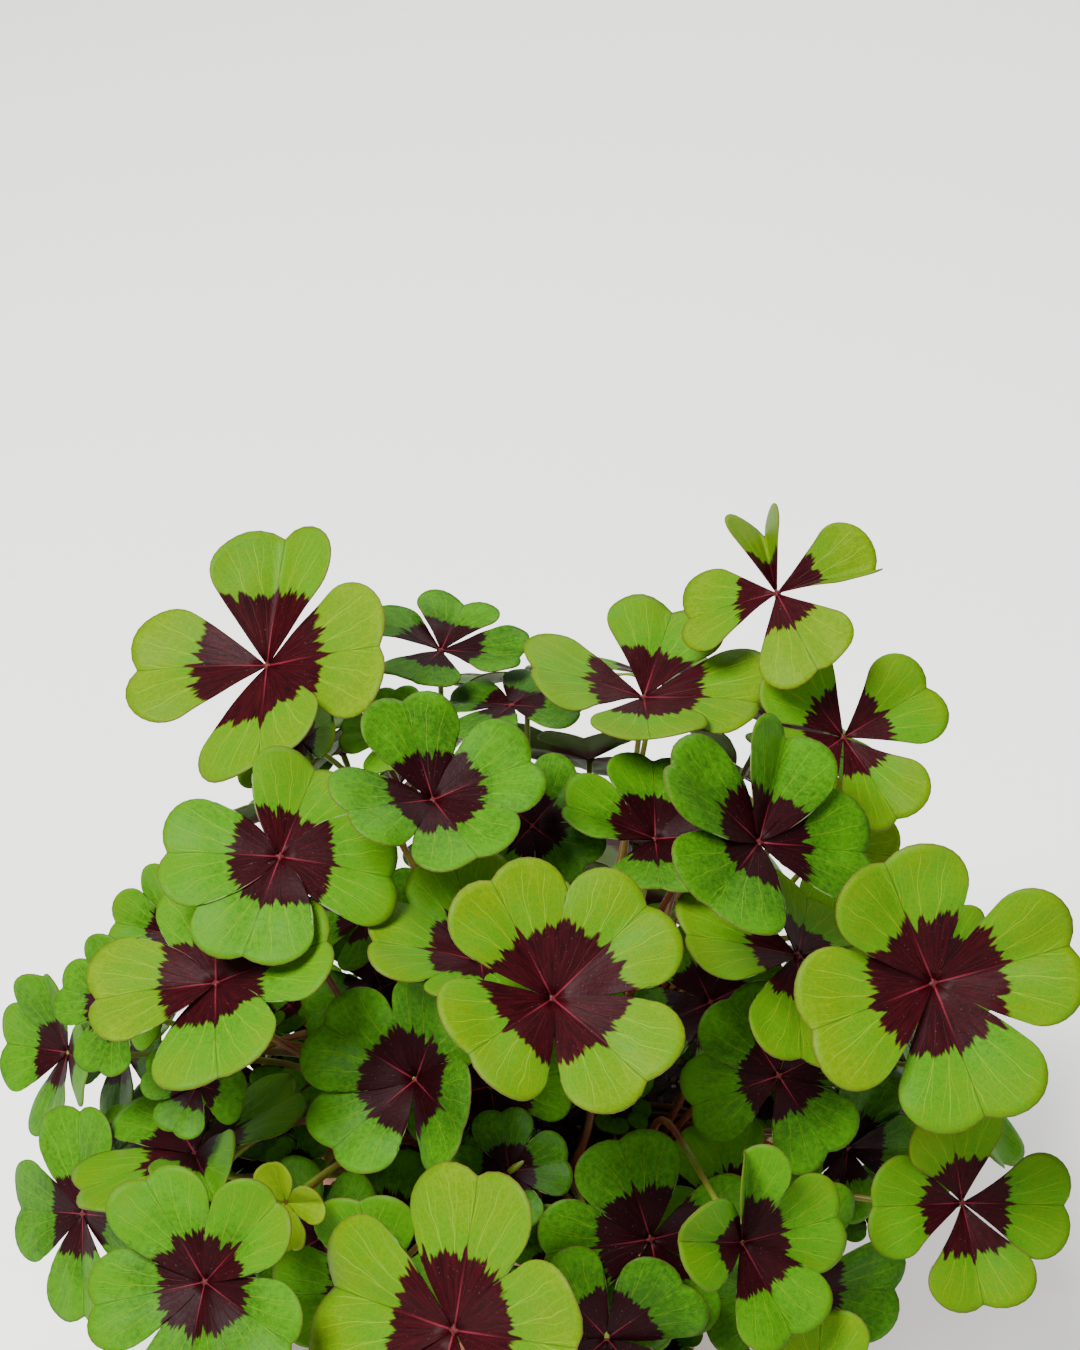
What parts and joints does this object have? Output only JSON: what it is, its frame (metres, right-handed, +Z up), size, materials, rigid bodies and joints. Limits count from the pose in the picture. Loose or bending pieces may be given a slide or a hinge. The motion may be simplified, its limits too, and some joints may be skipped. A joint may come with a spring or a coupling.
{
  "type": "potted four-leaf shamrock",
  "caption": "Leafy shamrock plant with heart-shaped leaflets and maroon centres, growing in a plain turned clay pot that stands on a table, sill or floor.",
  "frame": {"origin": "centre of the pot's underside, on the surface it stands on", "axes": "+Z up along the pot's axis, -Y towards the viewer of the picture"},
  "size_m": [0.2936, 0.294, 0.2716],
  "materials": {
    "terracotta": "matte unglazed clay",
    "potting_soil": "crumbly, matte",
    "leaf_green": "soft satin leaf, maroon towards the leaf's middle"
  },
  "bodies": {
    "root": {"pot": "terracotta", "soil": "potting_soil", "tuft_01": "leaf_green", "tuft_02": "leaf_green", "tuft_03": "leaf_green", "tuft_04": "leaf_green", "tuft_05": "leaf_green", "tuft_06": "leaf_green", "tuft_07": "leaf_green", "tuft_08": "leaf_green", "tuft_09": "leaf_green", "tuft_10": "leaf_green", "tuft_11": "leaf_green", "tuft_12": "leaf_green"}
  },
  "joints": []
}
